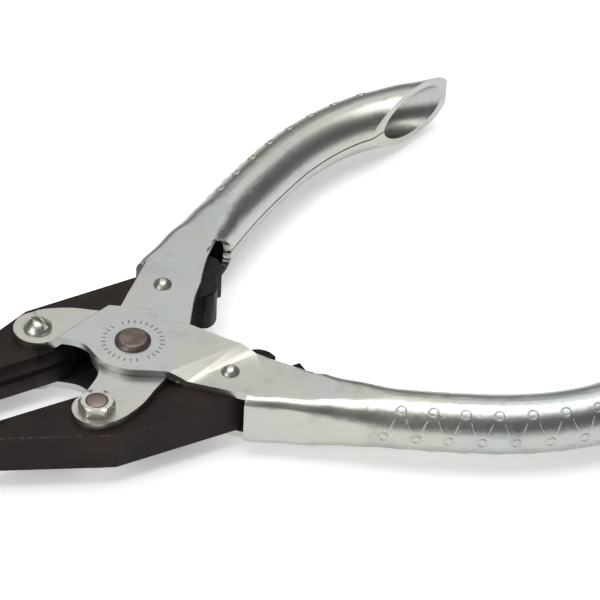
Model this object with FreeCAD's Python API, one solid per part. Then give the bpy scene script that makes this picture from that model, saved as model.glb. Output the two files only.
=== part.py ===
"""Parallel-action flat nose pliers for jewellery making.

Two pressed sheet-steel handles cross at a pair of short centre rivets. Each handle's front ear
holds one jaw on a pivot screw, and each handle's rear slide pin runs in the open slot in the
other jaw's tail, so the two grip faces stay parallel.

Lengths are in millimetres. X runs from the jaws to the handles, Y across, Z up.
The lower half of the tool is the upper half turned half a turn about the long axis.
"""
import FreeCAD, Part
import os
from math import atan2, cos, degrees, radians, sin, sqrt

V = FreeCAD.Vector

# linkage
FRONT_ARM = 20.5          # centre rivet to jaw pivot
REAR_ARM = 21.3           # centre rivet to slide pin
PIVOT_OFFSET = 1.29       # jaw pivot stands this far outside the line through rivet and slide pin
REAR_ANGLE = 46.78        # slide pin direction from the long axis, in the drawn pose

# sheet and thickness stack
JAW_THICK = 8.6
SIDE_GAP = 0.05           # clearance between flat parts that rub
SHEET = 1.6

# rivets, pins, screws
RIVET_SHANK_R = 2.3
RIVET_HEAD_R = 3.75
RIVET_HEAD_H = 1.15
RIVET_FLAT_R = 2.6        # small flat on top of the domed head
PIN_R = 1.65
PIN_HEAD_R = 1.9
PIN_HEAD_H = 1.25
SCREW_R = 2.35
SCREW_HEAD_R = 2.95
SCREW_HEAD_H = 2.2
SCREW_SLOT_W = 0.95
SCREW_SLOT_D = 1.15
SCREW_SLOT_ANGLE = -67.0
NUT_AF = 6.6
NUT_H = 2.1
SCREW_END_H = 0.35        # screw's domed end stands this far past the nut
RUN = 0.04                # radial clearance of a running fit

# jaw
JAW_TIP_X = -25.0
GRIP_Y = -6.83
GRIP_END_X = 4.5
THROAT_Y = -3.3
TAIL_X = 44.6
OPEN_ROOM = 1.24          # slide pin's room at the slot's end when the handles are wide open
SLOT_SIDE = 0.12          # slide pin's clearance to each side of its slot
TOOTH_PITCH = 0.55
TOOTH_DEPTH = 0.3
VEE_W = 2.4
VEE_D = 0.9

# handle
EAR_R = 5.05
TUBE_R = 6.1
CORNER_R = 2.0
SEAM_W = 0.35
SEAM_X = 43.0             # the lips meet here
EDGE_Y = -5.95            # cheek's inner edge ahead of the lips
MOUTH_Y = -4.2            # depth to which the open inner side is cleared
JOIN_X = 27.0             # cheeks meet the wrapped back on this plane
SCARF = ((92.9, -27.7), (111.6, -37.4))
STEP_FRONT = (-13.75, 0.4)  # foot of the step ahead of the other handle
STEP_FRONT_ANGLE = 24.0
STEP_FRONT_RUN = 1.55
STEP_REAR_BACK = 6.6      # foot of the rear step, this far ahead of the slide pin
STEP_REAR_ANGLE = 37.5
STEP_REAR_RUN = 2.8

INNER_Z = JAW_THICK / 2 + SIDE_GAP
OUTER_Z = INNER_Z + SHEET + SIDE_GAP
HALF_H = INNER_Z + SHEET
MID_Z = OUTER_Z + SHEET + RIVET_HEAD_H

PIVOT_X = -sqrt(FRONT_ARM ** 2 - PIVOT_OFFSET ** 2)

# cheek outline: outer side going back, then inner side coming forward
CHEEK_OUTER = ((-17.0, 4.9), (-15.2, 4.7), (-12.9, 4.3), (-10.7, 4.15), (-8.6, 4.7), (-6.6, 6.1),
               (-4.1, 7.9), (-1.6, 8.75), (0.6, 8.9), (3.2, 8.55), (5.6, 7.8), (8.5, 6.9),
               (12.6, 6.2), (16.0, 6.1), (19.0, 5.9), (23.1, 5.7), (27.0, 5.6))
CHEEK_INNER = ((27.0, -6.8), (22.4, -7.4), (19.5, -7.5), (16.0, -8.0), (12.7, -8.6), (9.3, -9.2),
               (5.0, -9.75), (0.5, -10.0), (-4.0, -9.9), (-7.3, -9.3), (-11.5, -8.2),
               (-15.8, -7.3), (-19.1, -6.0), (-21.9, -4.4), (-23.55, -2.75))

# wrapped grip: centre, tilt of its axis, half width, half height, corner radius
GRIP = ((25.4, -1.3, -4.7, 8.9, HALF_H, CORNER_R),
        (36.5, -1.45, -8.0, 6.6, HALF_H, 2.5),
        (45.6, -3.0, -11.5, 6.1, HALF_H, 4.2),
        (55.6, -5.0, -15.6, TUBE_R, TUBE_R, TUBE_R - 0.05),
        (68.7, -8.6, -16.5, TUBE_R, TUBE_R, TUBE_R - 0.05),
        (76.4, -11.2, -21.0, TUBE_R, TUBE_R, TUBE_R - 0.05),
        (84.9, -15.2, -29.5, TUBE_R, TUBE_R, TUBE_R - 0.05),
        (92.4, -20.2, -38.0, TUBE_R + 0.05, TUBE_R + 0.05, TUBE_R),
        (98.4, -26.2, -50.0, TUBE_R + 0.25, TUBE_R + 0.25, TUBE_R + 0.2),
        (103.2, -33.6, -60.0, TUBE_R + 0.85, TUBE_R + 0.85, TUBE_R + 0.8),
        (107.6, -42.2, -64.0, TUBE_R + 1.6, TUBE_R + 1.6, TUBE_R + 1.55))
GRIP_STEPS = 4            # sections drawn between two stations


def prism(points, z0, z1):
    pts = [V(x, y, z0) for x, y in points]
    face = Part.Face(Part.makePolygon(pts + [pts[0]]))
    return face.extrude(V(0, 0, z1 - z0))


def cylinder(x, y, r, z0, z1):
    return Part.makeCylinder(r, z1 - z0, V(x, y, z0), V(0, 0, 1))


def curve(points):
    line = Part.BSplineCurve()
    line.interpolate([V(x, y, 0) for x, y in points])
    return line.toShape()


def solid_of(shape):
    """The largest solid of a boolean result."""
    return max(shape.Solids, key=lambda s: s.Volume)


# ---------------------------------------------------------------- handle

def cheek_face():
    outer = curve(CHEEK_OUTER)
    back = Part.makeLine(V(*CHEEK_OUTER[-1], 0), V(*CHEEK_INNER[0], 0))
    inner = curve(CHEEK_INNER)
    ear = Part.makeLine(V(*CHEEK_INNER[-1], 0), V(*CHEEK_OUTER[0], 0))
    return Part.Face(Part.Wire([outer, back, inner, ear]))


def cheek_prism(z0, z1):
    body = cheek_face().extrude(V(0, 0, z1 - z0))
    body.translate(V(0, 0, z0))
    ear = cylinder(PIVOT_X, PIVOT_OFFSET, EAR_R, z0, z1)
    return body.fuse(ear).removeSplitter()


def step_slab(base, along, low_first, run, z_low, z_high):
    """Sheet that steps from one level to the other across a line through base."""
    wide = 60.0
    slope_up = (z_high - z_low)
    before = z_low if low_first else z_high
    after = z_high if low_first else z_low
    skew = SHEET * (sqrt(run ** 2 + slope_up ** 2) - run) / slope_up
    shift = skew if low_first else -skew
    profile = ((-wide, before), (0, before), (run, after), (wide, after),
               (wide, after + SHEET), (run - shift, after + SHEET), (-shift, before + SHEET),
               (-wide, before + SHEET))
    pts = [V(u, 0, z) for u, z in profile]
    face = Part.Face(Part.makePolygon(pts + [pts[0]]))
    slab = face.extrude(V(0, 2 * wide, 0))
    slab.translate(V(0, -wide, 0))
    slab.rotate(V(0, 0, 0), V(0, 0, 1), along)
    slab.translate(V(base[0], base[1], 0))
    return slab


def outer_cheek():
    """The cheek that steps over the other handle, drawn above the middle plane."""
    front = step_slab(STEP_FRONT, STEP_FRONT_ANGLE, True, STEP_FRONT_RUN, INNER_Z, OUTER_Z)
    foot = (REAR_ARM - STEP_REAR_BACK, 0.0)
    rear = step_slab(foot, STEP_REAR_ANGLE, False, STEP_REAR_RUN, INNER_Z, OUTER_Z)
    wide = 60.0
    fore = Part.makeBox(wide, 2 * wide, 2 * wide, V(-wide + 2.0, -wide, -wide))
    aft = Part.makeBox(wide, 2 * wide, 2 * wide, V(2.0, -wide, -wide))
    slab = front.common(fore).fuse(rear.common(aft)).removeSplitter()
    body = cheek_prism(INNER_Z - 0.5, OUTER_Z + SHEET + 0.5).common(slab)
    return solid_of(body)


def grip_section(station, inset):
    """Rounded rectangle across the grip, as one closed wire of four lines and four arcs."""
    cx, cy, tilt, half_w, half_h, corner = station
    w = half_w - inset
    h = half_h - inset
    r = max(corner - inset, 0.35)
    a = radians(tilt)
    across = V(-sin(a), cos(a), 0)
    centre = V(cx, cy, 0)

    def at(u, z):
        return centre + across * u + V(0, 0, z)

    k = r * (1 - sqrt(0.5))
    edges = []
    for su, sz in ((1, 1), (-1, 1), (-1, -1), (1, -1)):
        side = at(su * w, sz * (h - r))
        mid = at(su * (w - k), sz * (h - k))
        top = at(su * (w - r), sz * h)
        first, last = (side, top) if su * sz > 0 else (top, side)
        edges.append((first, mid, last))
    wire = []
    for i in range(4):
        first, mid, last = edges[i]
        wire.append(Part.Arc(first, mid, last).toShape())
        wire.append(Part.makeLine(last, edges[(i + 1) % 4][0]))
    return Part.Wire(wire)


def grip_stations():
    """The stations above and eased ones between them, along a smooth centre line."""
    line = Part.BSplineCurve()
    line.interpolate([V(s[0], s[1], 0) for s in GRIP])
    stations = []
    for a, b in zip(GRIP, GRIP[1:]):
        ua = line.parameter(V(a[0], a[1], 0))
        ub = line.parameter(V(b[0], b[1], 0))
        for i in range(GRIP_STEPS):
            t = i / GRIP_STEPS
            ease = t * t * (3 - 2 * t)
            at = line.value(ua + (ub - ua) * t)
            along = line.tangent(ua + (ub - ua) * t)[0]
            tilt = degrees(atan2(along.y, along.x))
            sizes = [a[k] + (b[k] - a[k]) * ease for k in (3, 4, 5)]
            stations.append((at.x, at.y, tilt, *sizes))
    stations.append(GRIP[-1])
    return stations


def grip_loft(inset):
    return Part.makeLoft([grip_section(s, inset) for s in grip_stations()], True, False)


def scarf_cut():
    """Everything on the inner side of the sloping end cut."""
    (x0, y0), (x1, y1) = SCARF
    slope = (y1 - y0) / (x1 - x0)
    far = 40.0
    end = (x1 + far, y1 + far * slope)
    return prism(((x0 - 1.5, y0), end, (end[0], end[1] - 3 * far),
                  (x0 - 1.5, y0 - 3 * far)), -far, far)


def grip():
    shell = grip_loft(0).cut(grip_loft(SHEET))
    # inner side is open ahead of the seam, with a rounded end where the edges meet
    mouth = INNER_Z + 0.15
    wedge = Part.makeBox(SEAM_X - mouth, 14, 2 * mouth, V(0, -14 + MOUTH_Y, -mouth))
    arch = Part.makeCylinder(mouth, 14, V(SEAM_X - mouth, -14 + MOUTH_Y, 0), V(0, 1, 0))
    wedge = wedge.fuse(arch)
    seam = [(SEAM_X - 1.0, -6.5), (GRIP[3][0], -8.5)]
    for cx, cy, tilt, half_w, half_h, corner in GRIP[4:]:
        a = radians(tilt)
        seam.append((cx + sin(a) * (half_w - SHEET - 1), cy - cos(a) * (half_w - SHEET - 1)))
    low = []
    for cx, cy, tilt, half_w, half_h, corner in reversed(GRIP[4:]):
        a = radians(tilt)
        low.append((cx + sin(a) * (half_w + 2), cy - cos(a) * (half_w + 2)))
    low.append((SEAM_X - 1.0, -14.0))
    slit = prism(tuple(seam + low), -SEAM_W / 2, SEAM_W / 2)
    # cheek edges stay flat up to where they curl over towards the seam
    big = 30.0
    lip = HALF_H + 0.15
    bend_x = SEAM_X - lip
    notch = prism(((0, CHEEK_INNER[0][1]), CHEEK_INNER[0], (bend_x, EDGE_Y), (bend_x, -big), (0, -big)),
                  -lip, lip)
    notch = notch.fuse(Part.makeCylinder(lip, big, V(bend_x, EDGE_Y - big, 0), V(0, 1, 0)))
    body = shell.cut(wedge).cut(slit).cut(notch).cut(scarf_cut())
    return solid_of(body)


def handle():
    """One handle in its own frame: X from centre rivet to slide pin, Y outwards."""
    flat = cheek_prism(INNER_Z, HALF_H)
    stepped = outer_cheek()
    lower = stepped.mirror(V(0, 0, 0), V(0, 0, 1))
    tail = grip()
    ahead = Part.makeBox(60, 120, 60, V(JOIN_X - 60, -60, -30))
    tail = solid_of(tail.cut(ahead))
    body = tail.fuse(flat).fuse(lower)
    big = 30.0
    bores = [cylinder(0, 0, RIVET_SHANK_R, -big, big),
             cylinder(PIVOT_X, PIVOT_OFFSET, SCREW_R, -big, big),
             cylinder(REAR_ARM, 0, PIN_R, -big, big)]
    # the flat cheek turns on the centre rivet, the stepped one is riveted tight
    bores[0] = cylinder(0, 0, RIVET_SHANK_R, -big, 0).fuse(
        cylinder(0, 0, RIVET_SHANK_R + RUN, 0, big))
    for bore in bores:
        body = body.cut(bore)
    return solid_of(body.removeSplitter())


# ---------------------------------------------------------------- jaw

def jaw_outline():
    """Jaw profile, pivot at the origin, Y outwards, without teeth and slot."""
    pts = [(JAW_TIP_X, GRIP_Y), (JAW_TIP_X, GRIP_Y + 3.0), (JAW_TIP_X + 0.5, GRIP_Y + 3.7),
           (0.3, 7.3), (0.8, 7.5), (TAIL_X - 2.2, 8.1), (TAIL_X - 0.6, 7.4), (TAIL_X, 5.9),
           (TAIL_X, 3.55), (TAIL_X - 4.2, 3.45), (TAIL_X - 3.6, -0.6), (TAIL_X - 4.0, -2.2),
           (TAIL_X - 4.6, -3.1), (TAIL_X - 5.5, -3.9), (TAIL_X - 6.6, -4.4), (TAIL_X - 7.6, -4.45),
           (TAIL_X - 8.4, -4.1), (TAIL_X - 9.2, THROAT_Y - 0.35), (TAIL_X - 10.6, THROAT_Y),
           (GRIP_END_X + 3.0, THROAT_Y), (GRIP_END_X + 1.1, THROAT_Y - 0.9),
           (GRIP_END_X, GRIP_Y + 0.4)]
    return pts


def teeth():
    """Row of small cross grooves on the grip face, as one cutter."""
    count = int((GRIP_END_X - JAW_TIP_X - 1.0) / TOOTH_PITCH)
    start = JAW_TIP_X + 0.4
    pts = [(start, GRIP_Y - 1.0)]
    for i in range(count):
        x = start + i * TOOTH_PITCH
        pts.append((x, GRIP_Y))
        pts.append((x + TOOTH_PITCH / 2, GRIP_Y + TOOTH_DEPTH))
    x = start + count * TOOTH_PITCH
    pts.append((x, GRIP_Y))
    pts.append((x, GRIP_Y - 1.0))
    return prism(tuple(pts), -JAW_THICK, JAW_THICK)


def slide_line():
    """Height of the slide pin's path above the jaw pivot."""
    front = atan2(-PIVOT_OFFSET, -PIVOT_X)
    a = radians(REAR_ANGLE)
    return REAR_ARM * sin(a) - FRONT_ARM * sin(a + front)


def jaw():
    half = JAW_THICK / 2
    body = prism(tuple(jaw_outline()), -half, half)
    y = slide_line()
    w = PIN_R + SLOT_SIDE
    swing = radians(REAR_ANGLE)
    front = atan2(-PIVOT_OFFSET, -PIVOT_X)
    slot_x = REAR_ARM * cos(swing) + FRONT_ARM * cos(swing + front) - OPEN_ROOM
    far = TAIL_X + 10.0
    slot = prism(((slot_x, y - w), (far, y - w), (far, y + w), (slot_x, y + w)), -10, 10)
    slot = slot.fuse(cylinder(slot_x, y, w, -10, 10))
    vee = Part.Face(Part.makePolygon([V(-60, GRIP_Y - 0.01, -VEE_W / 2), V(-60, GRIP_Y + VEE_D, 0),
                                      V(-60, GRIP_Y - 0.01, VEE_W / 2),
                                      V(-60, GRIP_Y - 0.01, -VEE_W / 2)]))
    vee = vee.extrude(V(60 + GRIP_END_X + 2, 0, 0))
    body = body.cut(slot).cut(teeth()).cut(vee)
    body = body.cut(cylinder(0, 0, SCREW_R + RUN, -10, 10))
    return solid_of(body)


# ---------------------------------------------------------------- rivets, screws, nuts

def revolve(profile):
    pts = [V(r, 0, z) for r, z in profile]
    face = Part.Face(Part.makePolygon(pts + [pts[0]]))
    return face.revolve(V(0, 0, 0), V(0, 0, 1), 360)


def dome_profile(radius, height, flat_r, edge):
    """Points of a low dome from its rim to its small flat top."""
    pts = [(radius, 0), (radius, edge)]
    steps = 12
    for i in range(1, steps + 1):
        t = i / steps
        r = radius + (flat_r - radius) * t
        z = edge + (height - edge) * sin(t * radians(90))
        pts.append((r, z))
    return pts


def centre_rivet():
    """Short rivet through both top cheeks, head up, flush inside."""
    base = OUTER_Z + SHEET
    head = dome_profile(RIVET_HEAD_R, RIVET_HEAD_H, RIVET_FLAT_R, 0.3)
    pts = [(0, INNER_Z), (RIVET_SHANK_R, INNER_Z), (RIVET_SHANK_R, base)]
    pts += [(r, base + z) for r, z in head]
    pts.append((0, base + RIVET_HEAD_H))
    return revolve(pts)


def slide_pin():
    """Pin across the handle with a domed head at each end."""
    head = dome_profile(PIN_HEAD_R, PIN_HEAD_H, 0.3, 0.25)
    pts = [(PIN_R, -HALF_H)]
    pts += [(PIN_R, HALF_H)]
    pts += [(r, HALF_H + z) for r, z in head]
    pts.append((0, HALF_H + PIN_HEAD_H))
    pts.append((0, -HALF_H - PIN_HEAD_H))
    pts += [(r, -HALF_H - z) for r, z in reversed(head)]
    return revolve(pts)


def pivot_screw():
    """Slotted dome-head screw from the top ear to past the nut below."""
    head = dome_profile(SCREW_HEAD_R, SCREW_HEAD_H, 0.5, 0.5)
    end = HALF_H + NUT_H
    pts = [(SCREW_R, HALF_H)]
    pts += [(r, HALF_H + z) for r, z in head]
    pts.append((0, HALF_H + SCREW_HEAD_H))
    pts += [(0, -end - SCREW_END_H), (SCREW_R * 0.4, -end - SCREW_END_H * 0.85),
            (SCREW_R * 0.75, -end - SCREW_END_H * 0.45), (SCREW_R, -end)]
    body = revolve(pts)
    top = HALF_H + SCREW_HEAD_H
    cut = Part.makeBox(10, SCREW_SLOT_W, 2, V(-5, -SCREW_SLOT_W / 2, top - SCREW_SLOT_D))
    cut.rotate(V(0, 0, 0), V(0, 0, 1), SCREW_SLOT_ANGLE)
    return solid_of(body.cut(cut))


def nut():
    """Hexagon nut under the bottom ear, with its outer corners turned off."""
    low = -HALF_H - NUT_H
    corner = NUT_AF / sqrt(3)
    pts = [(corner * cos(radians(60 * i)), corner * sin(radians(60 * i))) for i in range(6)]
    body = prism(tuple(pts), low, -HALF_H)
    body.rotate(V(0, 0, 0), V(0, 0, 1), -29.8)
    turned = revolve(((0, low), (NUT_AF / 2, low), (corner + 0.2, low + 0.45),
                      (corner + 0.2, -HALF_H), (0, -HALF_H)))
    body = body.common(turned)
    return solid_of(body.cut(cylinder(0, 0, SCREW_R, low - 1, 0)))


# ---------------------------------------------------------------- assembly

def placed(shape, x, y, turn):
    out = shape.copy()
    out.rotate(V(0, 0, 0), V(0, 0, 1), turn)
    out.translate(V(x, y, 0))
    return out


def flipped(shape):
    out = shape.copy()
    out.rotate(V(0, 0, 0), V(1, 0, 0), 180)
    return out


def pivot_point():
    a = radians(REAR_ANGLE)
    x = PIVOT_X * cos(a) - PIVOT_OFFSET * sin(a)
    y = PIVOT_X * sin(a) + PIVOT_OFFSET * cos(a)
    return x, y


def main():
    os.makedirs("parts", exist_ok=True)
    px, py = pivot_point()
    a = radians(REAR_ANGLE)
    sx = REAR_ARM * cos(a)
    sy = REAR_ARM * sin(a)
    handle_b = placed(handle(), 0, 0, REAR_ANGLE)
    pin_b = placed(slide_pin(), sx, sy, 0)
    # a jaw sits on the far side of the ear that holds it
    jaw_up = placed(jaw(), px, -py, 0)
    screw_a = placed(pivot_screw(), px, -py, 0)
    nut_a = placed(nut(), px, -py, 0)
    rivet = centre_rivet()
    nodes = {
        "handle_right": flipped(handle_b),
        "handle_left": handle_b,
        "jaw_left": jaw_up,
        "jaw_right": flipped(jaw_up),
        "rivet_top": rivet,
        "rivet_bottom": flipped(rivet),
        "pivot_screw_left": screw_a,
        "pivot_screw_right": flipped(screw_a),
        "nut_left": nut_a,
        "nut_right": flipped(nut_a),
        "slide_pin_left": pin_b,
        "slide_pin_right": flipped(pin_b),
    }
    for name, shape in nodes.items():
        shape.translate(V(0, 0, MID_Z))
        shape.exportStep("parts/%s.step" % name)
        box = shape.BoundBox
        print(name, shape.isValid(), len(shape.Solids), round(shape.Volume, 1),
              [round(v, 2) for v in (box.XMin, box.YMin, box.ZMin, box.XMax, box.YMax, box.ZMax)])


main()
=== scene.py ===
"""Parallel-action flat nose pliers: finishes, embossed grips and the studio they lie in."""
import math

import bpy
from mathutils import Matrix, Vector
from mathutils.bvhtree import BVHTree


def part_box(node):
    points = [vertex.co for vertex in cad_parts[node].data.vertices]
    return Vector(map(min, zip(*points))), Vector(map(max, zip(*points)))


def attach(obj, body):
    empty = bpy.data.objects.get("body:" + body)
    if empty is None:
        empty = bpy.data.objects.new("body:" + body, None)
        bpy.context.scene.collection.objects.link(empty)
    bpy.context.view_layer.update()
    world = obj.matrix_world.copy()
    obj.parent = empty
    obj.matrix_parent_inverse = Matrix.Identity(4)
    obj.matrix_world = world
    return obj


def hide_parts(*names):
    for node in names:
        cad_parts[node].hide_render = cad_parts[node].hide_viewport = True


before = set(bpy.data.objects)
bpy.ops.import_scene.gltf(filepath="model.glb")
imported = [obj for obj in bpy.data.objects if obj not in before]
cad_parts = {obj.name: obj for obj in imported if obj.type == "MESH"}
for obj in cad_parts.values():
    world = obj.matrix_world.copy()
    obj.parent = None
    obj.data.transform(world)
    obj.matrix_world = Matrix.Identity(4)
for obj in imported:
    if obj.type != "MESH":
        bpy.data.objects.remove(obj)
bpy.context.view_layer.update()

MM = 0.001
JAW_LOW, JAW_HIGH = (corner[2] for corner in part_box("jaw_left"))
MID_Z = (JAW_LOW + JAW_HIGH) / 2
JAW_HALF = (JAW_HIGH - JAW_LOW) / 2
NOSE_CORNER = (-14.65 * MM, 21.33 * MM)
NOSE_TAPER = 0.4245
PIVOT = (-14.95 * MM, 14.03 * MM)
REAR_ANGLE = math.radians(46.78)
MERGE_DISTANCE = 0.002 * MM

# where the colour changes: each pair is where a mark starts and where it is full; the first three
# bound the painted edge highlight on the nose
HIGHLIGHT_EDGE_BAND = (-0.24 * MM, -0.05 * MM)
HIGHLIGHT_FACE_BAND = (JAW_HALF - 0.16 * MM, JAW_HALF - 0.03 * MM)
HIGHLIGHT_NOSE_BAND = (NOSE_CORNER[0] + 2 * MM, NOSE_CORNER[0] - 1 * MM)
SCREW_END_LEVEL = (5.9 * MM, 6.1 * MM)
SCREW_END_RIM = (2.36 * MM, 2.3 * MM)

# the round part of the grip, in the handle's own frame: centre and tilt of its axis
GRIP_LINE = ((50.0, -4.25, -14.3), (55.6, -5.0, -15.6), (68.7, -8.6, -16.5), (76.4, -11.2, -21.0),
             (84.9, -15.2, -29.5), (92.4, -20.2, -38.0), (98.4, -26.2, -50.0),
             (103.2, -33.6, -60.0))
GRIP_R = 6.1
RINGS = 8                     # in each row
FIRST_RING = 6.6
RING_PITCH = 6.55
RING_ANGLE = math.radians(57)
RING_R = 0.98
RING_WIRE_R = 0.23
RING_SINK = 0.09              # depth of a ring's centre under the skin
STROKE_SIZE = (2.9, 0.38, 0.34)
STROKE_LEAN = math.radians(66)
STROKE_ANGLE = RING_ANGLE * 0.52
STROKE_SINK = 0.06

# ring of ticks
TICKS = 30
MISSING_TICKS = (8, 22)
TICK_RING_R = 6.1
TICK_SIZE = (0.95, 0.22, 0.02)
CHEEK_STEP = 1.65             # raised cheek's face above the plain one's

# camera
LENS = 240
SENSOR = 36
VIEW_RIGHT = (0.882, -0.469, 0.038)
VIEW_AHEAD = (0.383, 0.670, -0.636)
VIEW_CENTRE = (41.8, 4.9, 0)
VIEW_DISTANCE = 0.845


def deselect():
    bpy.ops.object.select_all(action="DESELECT")


deselect()


# ------------------------------------------------------------------ shader maths

class Value:
    """A shader socket that takes part in arithmetic."""

    def __init__(self, shader, socket):
        self.shader = shader
        self.socket = socket

    def sum_with(self, operation, other, swap=False):
        ends = (other, self) if swap else (self, other)
        return self.shader.node("ShaderNodeMath", {"operation": operation},
                                {0: ends[0], 1: ends[1]})

    def __add__(self, other):
        return self.sum_with("ADD", other)

    __radd__ = __add__

    def __mul__(self, other):
        return self.sum_with("MULTIPLY", other)

    def __sub__(self, other):
        return self.sum_with("SUBTRACT", other)

    def __rsub__(self, other):
        return self.sum_with("SUBTRACT", other, True)

    def __pow__(self, other):
        return self.sum_with("POWER", other)

    def size(self):
        return (self * self) ** 0.5

    def least(self, other):
        return self.sum_with("MINIMUM", other)


class Shader:
    """One material and the nodes it is made of."""

    def __init__(self, name, **constants):
        self.material = bpy.data.materials.new(name)
        self.material.use_nodes = True
        self.tree = self.material.node_tree
        self.bsdf = self.tree.nodes["Principled BSDF"]
        for key, value in constants.items():
            self.bsdf.inputs[key.replace("_", " ")].default_value = value
        self.place = self.node("ShaderNodeTexCoord", out="Object")

    def node(self, kind, settings=None, sockets=None, out=0):
        made = self.tree.nodes.new(kind)
        for key, value in (settings or {}).items():
            setattr(made, key, value)
        for key, value in (sockets or {}).items():
            if isinstance(value, Value):
                self.tree.links.new(value.socket, made.inputs[key])
            else:
                made.inputs[key].default_value = value
        return Value(self, made.outputs[out])

    def axes(self):
        return [self.node("ShaderNodeSeparateXYZ", None, {0: self.place}, i) for i in range(3)]

    def stretched(self, scale=(1, 1, 1), turn=0.0, shift=(0, 0, 0)):
        return self.node("ShaderNodeMapping", None,
                         {"Vector": self.place, "Scale": scale, "Rotation": (0, 0, turn),
                          "Location": shift})

    def noise(self, scale, detail=4.0, rough=0.55, where=None):
        return self.node("ShaderNodeTexNoise", None,
                         {"Vector": where or self.place, "Scale": scale, "Detail": detail,
                          "Roughness": rough})

    def cells(self, scale, where=None):
        return self.node("ShaderNodeTexVoronoi", {"feature": "F1"},
                         {"Vector": where or self.place, "Scale": scale}, "Distance")

    def between(self, value, low, high):
        return self.node("ShaderNodeMapRange", {"interpolation_type": "SMOOTHSTEP"},
                         {"Value": value, "From Min": low, "From Max": high})

    def blend(self, amount, first, second):
        return self.node("ShaderNodeMix", {"data_type": "RGBA"},
                         {0: amount, 6: first, 7: second}, 2)

    def bump(self, relief, depth, strength):
        return self.node("ShaderNodeBump", None,
                         {"Height": relief, "Distance": depth, "Strength": strength})

    def finish(self, **links):
        for key, value in links.items():
            self.tree.links.new(value.socket, self.bsdf.inputs[key.replace("_", " ")])
        return self.material


def plated_sheet():
    """Bright plating over pressed sheet: clouding, a faint straw and blue tint, fine scuffs."""
    m = Shader("plated_sheet", Metallic=1.0, IOR=2.5)
    cloud = m.noise(60.0, 5.0, 0.6)
    tint = m.noise(38.0, 3.0, 0.5, m.stretched((1, 1, 1), 0.4, (0.03, 0.01, 0)))
    base = m.blend(m.between(tint, 0.38, 0.62), (0.475, 0.495, 0.49, 1), (0.505, 0.495, 0.44, 1))
    base = m.blend(m.between(cloud, 0.5, 0.72) * 0.6, base, (0.39, 0.41, 0.425, 1))
    scuff_a = m.noise(1.0, 2.0, 0.5, m.stretched((300, 5200, 2600), 0.62))
    scuff_b = m.noise(1.0, 2.0, 0.5, m.stretched((420, 6800, 3000), -0.35))
    scuffs = (m.between(scuff_a, 0.60, 0.68) + m.between(scuff_b, 0.61, 0.69)).least(1.0)
    patch = m.between(m.noise(110.0, 3.0, 0.5), 0.48, 0.62)
    marks = scuffs * patch
    speck = m.between(m.cells(520.0), 0.10, 0.05) * m.between(m.noise(170.0, 2.0), 0.60, 0.66)
    base = m.blend(marks * 0.45, base, (0.80, 0.80, 0.79, 1))
    base = m.blend(speck * 0.8, base, (0.20, 0.17, 0.14, 1))
    blot = m.noise(230.0, 6.0, 0.65, m.stretched((1, 1, 1), 0.2, (0.01, 0.02, 0)))
    stain = m.between(blot, 0.54, 0.70)
    base = m.blend(stain * 0.35, base, (0.30, 0.285, 0.25, 1))
    grain = m.noise(2600.0, 3.0, 0.6)
    rough = 0.25 + cloud * 0.14 + grain * 0.06 + marks * 0.10
    relief = grain * 0.6 + m.noise(420.0, 4.0, 0.6) * 1.2 - marks * 0.4
    return m.finish(Base_Color=base, Roughness=rough, Normal=m.bump(relief, 0.00001, 0.5))


def painted_edge_highlight(m):
    """Broken brown line along the nose's outer edges: a painted highlight where the edges catch the
    light.
    """
    x, y, z = m.axes()
    outwards = y.size()
    edge = NOSE_CORNER[1] + (x - NOSE_CORNER[0]) * NOSE_TAPER
    near_edge = m.between(outwards - edge, *HIGHLIGHT_EDGE_BAND)
    near_face = m.between((z - MID_Z).size(), *HIGHLIGHT_FACE_BAND)
    broken = m.between(m.noise(700.0, 4.0, 0.7), 0.44, 0.58)
    on_nose = m.between(x, *HIGHLIGHT_NOSE_BAND)
    return near_edge * near_face * broken * on_nose


def black_steel():
    """Black oxide on ground steel: brown-black, fine lengthways grain, a few bright nicks."""
    m = Shader("black_steel", Metallic=0.15, IOR=1.45, Specular_IOR_Level=0.2)
    cloud = m.noise(75.0, 5.0, 0.6)
    shade = m.between(cloud, 0.35, 0.68)
    base = m.blend(shade, (0.011, 0.0068, 0.0062, 1), (0.022, 0.0135, 0.0118, 1))
    grain = m.noise(1.0, 3.0, 0.6, m.stretched((700, 5200, 5200)))
    across = m.noise(1.0, 3.0, 0.6, m.stretched((5200, 900, 900)))
    fleck = m.between(m.cells(900.0), 0.085, 0.045) * m.between(m.noise(260.0, 2.0), 0.60, 0.63)
    nick = m.between(m.cells(260.0, m.stretched((1, 1, 1), 0.7)), 0.045, 0.02)
    base = m.blend(fleck * 0.6, base, (0.34, 0.29, 0.25, 1))
    base = m.blend(nick * 0.85, base, (0.55, 0.52, 0.48, 1))
    # painted highlight: a lighter brown line along the nose's outer top and bottom edges
    base = m.blend(painted_edge_highlight(m) * 0.55, base, (0.20, 0.125, 0.10, 1))
    rough = 0.36 + cloud * 0.12 + grain * 0.10
    relief = grain + across * 0.5 + m.noise(3000.0, 2.0) * 0.6
    return m.finish(Base_Color=base, Roughness=rough, Normal=m.bump(relief, 0.000012, 0.6))


def rivet_steel():
    """Set rivet head: dull pinkish brown, paler where it is rubbed."""
    m = Shader("rivet_steel", Metallic=0.85)
    cloud = m.noise(420.0, 4.0, 0.6)
    base = m.blend(m.between(cloud, 0.36, 0.64), (0.12, 0.092, 0.082, 1), (0.20, 0.155, 0.14, 1))
    speck = m.between(m.cells(1500.0), 0.12, 0.05)
    base = m.blend(speck * 0.3, base, (0.40, 0.34, 0.31, 1))
    rough = 0.34 + cloud * 0.16
    relief = cloud + m.noise(2400.0, 3.0) * 0.5
    return m.finish(Base_Color=base, Roughness=rough, Normal=m.bump(relief, 0.000008, 0.5))


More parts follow.
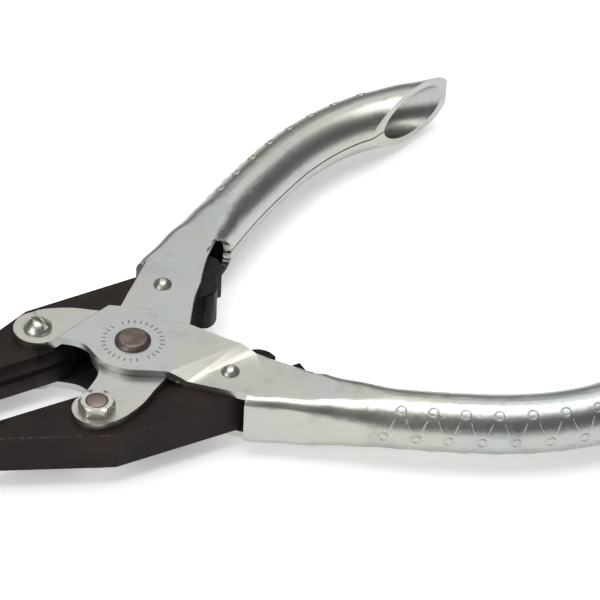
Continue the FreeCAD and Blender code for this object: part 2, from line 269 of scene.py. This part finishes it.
def bright_steel():
    """Plated screws, nuts and pins: brighter than the sheet, faint straw cast, turned lines."""
    m = Shader("bright_steel", Metallic=1.0, IOR=2.5)
    cloud = m.noise(330.0, 4.0, 0.6)
    base = m.blend(m.between(cloud, 0.40, 0.62), (0.60, 0.59, 0.555, 1), (0.50, 0.485, 0.42, 1))
    dirt = m.between(m.noise(900.0, 4.0, 0.7), 0.60, 0.72)
    base = m.blend(dirt * 0.25, base, (0.24, 0.21, 0.18, 1))
    x, y, z = m.axes()
    side = m.node("ShaderNodeMath", {"operation": "SIGN"}, {0: y})
    off_axis = ((x - PIVOT[0]) ** 2 + (y.size() - PIVOT[1]) ** 2) ** 0.5
    end_level = m.between((MID_Z - z) * side, *SCREW_END_LEVEL)
    screw_end = end_level * m.between(off_axis, *SCREW_END_RIM)
    base = m.blend(screw_end, base, (0.22, 0.18, 0.165, 1))
    lines = m.noise(1.0, 2.0, 0.5, m.stretched((700, 9000, 900), 0.9))
    rough = 0.27 + cloud * 0.10 + dirt * 0.10 + screw_end * 0.12
    return m.finish(Base_Color=base, Roughness=rough, Normal=m.bump(lines, 0.000002, 0.4))


def stamped_ink():
    """Dark worn filling of the stamped ticks."""
    m = Shader("stamped_marks", Metallic=0.4)
    shade = m.noise(1500.0, 3.0, 0.6)
    base = m.blend(m.between(shade, 0.4, 0.62), (0.07, 0.065, 0.06, 1), (0.16, 0.15, 0.14, 1))
    return m.finish(Base_Color=base, Roughness=0.42 + shade * 0.2)


FINISH = {
    "plated_sheet": plated_sheet(),
    "black_steel": black_steel(),
    "rivet_steel": rivet_steel(),
    "bright_steel": bright_steel(),
}
MARKS = stamped_ink()

BODY = {"left": "handle_left_body", "right": "handle_right_body"}


# ------------------------------------------------------------------ pieces from the tool's parts

def select_only(obj):
    deselect()
    obj.select_set(True)
    bpy.context.view_layer.objects.active = obj


def give(obj, material):
    obj.data.materials.clear()
    obj.data.materials.append(material)


def apply_place(obj):
    select_only(obj)
    bpy.ops.object.transform_apply(location=True, rotation=True, scale=True)
    deselect()


def smooth_copy(node, name, body, slot, angle):
    """A merged copy of a part, smooth up to an angle in degrees, that stands in for it."""
    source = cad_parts[node]
    copy = source.copy()
    copy.data = source.data.copy()
    copy.name = name
    copy.parent = None
    bpy.context.scene.collection.objects.link(copy)
    select_only(copy)
    bpy.ops.object.mode_set(mode="EDIT")
    bpy.ops.mesh.select_all(action="SELECT")
    bpy.ops.mesh.remove_doubles(threshold=MERGE_DISTANCE)
    bpy.ops.object.mode_set(mode="OBJECT")
    bpy.ops.object.shade_smooth_by_angle(angle=math.radians(angle))
    even = copy.modifiers.new("even_shading", "WEIGHTED_NORMAL")
    even.keep_sharp = True
    bpy.ops.object.modifier_apply(modifier="even_shading")
    give(copy, FINISH[slot])
    deselect()
    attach(copy, body)
    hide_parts(node)


for side in ("left", "right"):
    smooth_copy("handle_" + side, "pressed_handle_" + side, BODY[side], "plated_sheet", 27)
    smooth_copy("jaw_" + side, "ground_jaw_" + side, "jaw_" + side + "_body", "black_steel", 32)
    held_by = BODY["right"] if side == "left" else BODY["left"]
    smooth_copy("pivot_screw_" + side, "jaw_screw_" + side, held_by, "bright_steel", 50)
    smooth_copy("nut_" + side, "jaw_nut_" + side, held_by, "bright_steel", 25)
    smooth_copy("slide_pin_" + side, "rear_pin_" + side, BODY[side], "bright_steel", 50)
for level in ("top", "bottom"):
    smooth_copy("rivet_" + level, "centre_rivet_" + level, BODY["right"], "rivet_steel", 52)


# ------------------------------------------------------------------ embossed grips

def grip_at(distance):
    """Point on the grip's axis and its direction, a distance back from the first station."""
    left = distance
    for (x0, y0, a0), (x1, y1, a1) in zip(GRIP_LINE, GRIP_LINE[1:]):
        length = math.hypot(x1 - x0, y1 - y0)
        if left <= length:
            t = left / length
            return x0 + (x1 - x0) * t, y0 + (y1 - y0) * t, math.radians(a0 + (a1 - a0) * t)
        left -= length
    return x1, y1, math.radians(a1)


def palm_frame(distance, angle, sink):
    """Frame on the left grip's skin, found by a ray in from outside: X along it, Z outwards."""
    x, y, tilt = grip_at(distance)
    turn = Matrix.Translation((0, 0, MID_Z)) @ Matrix.Rotation(REAR_ANGLE, 4, "Z")
    along = turn.to_3x3() @ Vector((math.cos(tilt), math.sin(tilt), 0))
    level = math.cos(angle)
    out = turn.to_3x3() @ Vector((-math.sin(tilt) * level, math.cos(tilt) * level, math.sin(angle)))
    axis = turn @ (Vector((x, y, 0)) * MM)
    skin = LEFT_SKIN.ray_cast(axis + out * 3 * GRIP_R * MM, -out)[0]
    place = Matrix.Identity(4)
    place.col[0] = (*along, 0)
    place.col[1] = (*out.cross(along), 0)
    place.col[2] = (*out, 0)
    place.col[3] = (*(skin - out * sink * MM), 1)
    return place


def skin_of(obj):
    mesh = obj.data
    return BVHTree.FromPolygons([v.co for v in mesh.vertices], [p.vertices for p in mesh.polygons])


LEFT_SKIN = skin_of(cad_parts["handle_left"])


def wrap(obj):
    """Curves a small flat piece round the grip."""
    for vertex in obj.data.vertices:
        vertex.co.z -= vertex.co.y ** 2 / (2 * GRIP_R * MM)


def bead_ring():
    deselect()
    bpy.ops.mesh.primitive_torus_add(major_radius=RING_R * MM, minor_radius=RING_WIRE_R * MM,
                                     major_segments=28, minor_segments=8)
    ring = bpy.context.object
    wrap(ring)
    return ring


def bead_stroke(lean):
    deselect()
    bpy.ops.mesh.primitive_uv_sphere_add(segments=10, ring_count=7, radius=0.5)
    stroke = bpy.context.object
    stroke.scale = [side * MM for side in STROKE_SIZE]
    stroke.rotation_euler = (0, 0, lean)
    apply_place(stroke)
    wrap(stroke)
    return stroke


def copies(model, places):
    made = []
    for place in places:
        one = model.copy()
        one.data = model.data.copy()
        bpy.context.scene.collection.objects.link(one)
        one.data.transform(place)
        made.append(one)
    return made


def row(model, shift, angle, sink):
    """Copies along the grip, moved back by a share of the pitch."""
    return copies(model, [palm_frame(FIRST_RING + RING_PITCH * (i + shift), angle, sink)
                          for i in range(RINGS)])


def joined(parts, name):
    deselect()
    for part in parts:
        part.select_set(True)
    bpy.context.view_layer.objects.active = parts[0]
    bpy.ops.object.join()
    whole = bpy.context.object
    whole.name = name
    select_only(whole)
    bpy.ops.object.shade_smooth()
    deselect()
    return whole


ring = bead_ring()
lean_back = bead_stroke(STROKE_LEAN)
lean_fore = bead_stroke(-STROKE_LEAN)
parts = []
for angle, shift in ((-RING_ANGLE, 0), (RING_ANGLE, 0), (0.0, -0.5)):
    parts += row(ring, shift, angle, RING_SINK)
for angle, near, far in ((-STROKE_ANGLE, lean_fore, lean_back),
                         (STROKE_ANGLE, lean_back, lean_fore)):
    parts += row(near, 0.25, angle, STROKE_SINK)
    parts += row(far, -0.25, angle, STROKE_SINK)
for model in (ring, lean_back, lean_fore):
    bpy.data.objects.remove(model)
beads_left = joined(parts, "grip_beads_left")
beads_right = beads_left.copy()
beads_right.data = beads_left.data.copy()
beads_right.name = "grip_beads_right"
bpy.context.scene.collection.objects.link(beads_right)
beads_right.data.transform(Matrix.Translation((0, 0, MID_Z)) @ Matrix.Rotation(math.pi, 4, "X")
                           @ Matrix.Translation((0, 0, -MID_Z)))
for side, beads in (("left", beads_left), ("right", beads_right)):
    give(beads, FINISH["plated_sheet"])
    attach(beads, BODY[side])


# ------------------------------------------------------------------ stamped ring of ticks

def stamped_ticks():
    """A plain broken ring of short ticks round the centre rivet, on the raised cheek."""
    cheek_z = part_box("nut_right")[0][2] + CHEEK_STEP * MM
    deselect()
    bpy.ops.mesh.primitive_cube_add(size=1)
    tick = bpy.context.object
    tick.scale = [side * MM for side in TICK_SIZE]
    apply_place(tick)
    places = []
    for i in range(TICKS):
        if i in MISSING_TICKS:
            continue
        turn = Matrix.Rotation(math.radians(360 / TICKS * i), 4, "Z")
        reach = Matrix.Translation((TICK_RING_R * MM, 0, 0))
        places.append(Matrix.Translation((0, 0, cheek_z)) @ turn @ reach)
    marks = copies(tick, places)
    bpy.data.objects.remove(tick)
    ring_marks = joined(marks, "stamped_ticks")
    give(ring_marks, MARKS)
    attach(ring_marks, BODY["right"])


stamped_ticks()


# ------------------------------------------------------------------ studio

def floor():
    deselect()
    bpy.ops.mesh.primitive_plane_add(size=6, location=(0.04, 0, -0.0002))
    ground = bpy.context.object
    ground.name = "studio_floor"
    m = Shader("studio_paper", Roughness=0.9, Emission_Color=(1, 1, 1, 1), Emission_Strength=0.36)
    tone = m.noise(3.0, 2.0)
    base = m.blend(tone * 0.1, (0.93, 0.93, 0.93, 1), (0.90, 0.90, 0.90, 1))
    give(ground, m.finish(Base_Color=base))


def softbox(name, place, aim, size, power):
    light = bpy.data.lights.new(name, "AREA")
    light.shape = "RECTANGLE"
    light.size = size[0]
    light.size_y = size[1]
    light.energy = power
    lamp = bpy.data.objects.new(name, light)
    lamp.location = place
    lamp.rotation_euler = (Vector(aim) - Vector(place)).to_track_quat("-Z", "Y").to_euler()
    bpy.context.scene.collection.objects.link(lamp)


def camera():
    lens = bpy.data.cameras.new("product_camera")
    lens.lens = LENS
    lens.sensor_width = SENSOR
    eye = bpy.data.objects.new("product_camera", lens)
    right = Vector(VIEW_RIGHT).normalized()
    ahead = Vector(VIEW_AHEAD).normalized()
    up = right.cross(ahead).normalized()
    right = ahead.cross(up)
    aim = Vector(VIEW_CENTRE) * MM + Vector((0, 0, MID_Z))
    place = aim - ahead * VIEW_DISTANCE
    turn = Matrix((right, up, -ahead)).transposed()
    eye.matrix_world = Matrix.Translation(place) @ turn.to_4x4()
    bpy.context.scene.collection.objects.link(eye)
    bpy.context.scene.camera = eye


floor()
camera()
softbox("sky_box", (0.05, 0.05, 0.9), (0.04, 0, 0), (0.9, 0.7), 6.5)
softbox("left_box", (-0.8, -0.2, 0.5), (0.02, 0, 0), (0.5, 0.5), 3.0)
softbox("back_box", (0.44, 0.70, 0.74), (0.03, 0, 0), (1.0, 0.50), 1.6)
world = bpy.data.worlds.new("studio_air")
bpy.context.scene.world = world
world.use_nodes = True
air = world.node_tree.nodes["Background"].inputs
air["Color"].default_value = (0.95, 0.97, 1.0, 1)
air["Strength"].default_value = 0.13
bpy.context.scene.view_settings.view_transform = "Standard"
